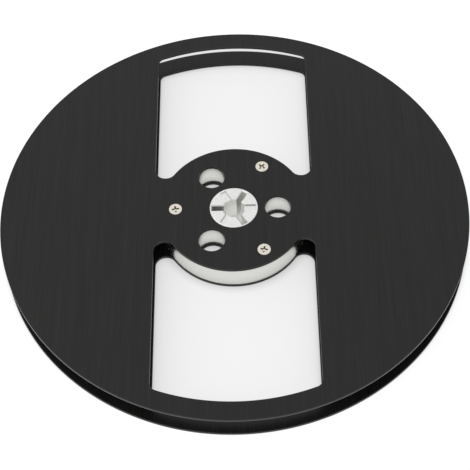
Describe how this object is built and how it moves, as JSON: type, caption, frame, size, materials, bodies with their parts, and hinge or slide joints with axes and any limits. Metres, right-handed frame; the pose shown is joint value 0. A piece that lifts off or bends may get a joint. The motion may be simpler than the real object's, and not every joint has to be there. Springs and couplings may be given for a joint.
{
  "type": "audio tape reel",
  "caption": "Open metal reel for quarter-inch audio tape: two thin windowed flanges screwed to a turned hub, with a keyed bush for the deck's spindle.",
  "frame": {"origin": "on the reel's axis, in the outer face of the lower flange", "axes": "+Z along the reel's axis, up the spindle; +Y along the two windows; +X across them"},
  "size_m": [0.178, 0.178, 0.0117],
  "materials": {
    "flange_black": "black anodised over a fine straight grain",
    "hub_turned": "bare, fine turned",
    "bush_matt": "bare, matt",
    "screw_steel": "nickel plated, lightly worn"
  },
  "bodies": {
    "root": {"lower_flange": "flange_black", "hub_barrel": "hub_turned", "spindle_bush": "bush_matt", "upper_flange": "flange_black", "lower_screw_1": "screw_steel", "lower_screw_2": "screw_steel", "lower_screw_3": "screw_steel", "upper_screw_1": "screw_steel", "upper_screw_2": "screw_steel", "upper_screw_3": "screw_steel"}
  },
  "joints": []
}
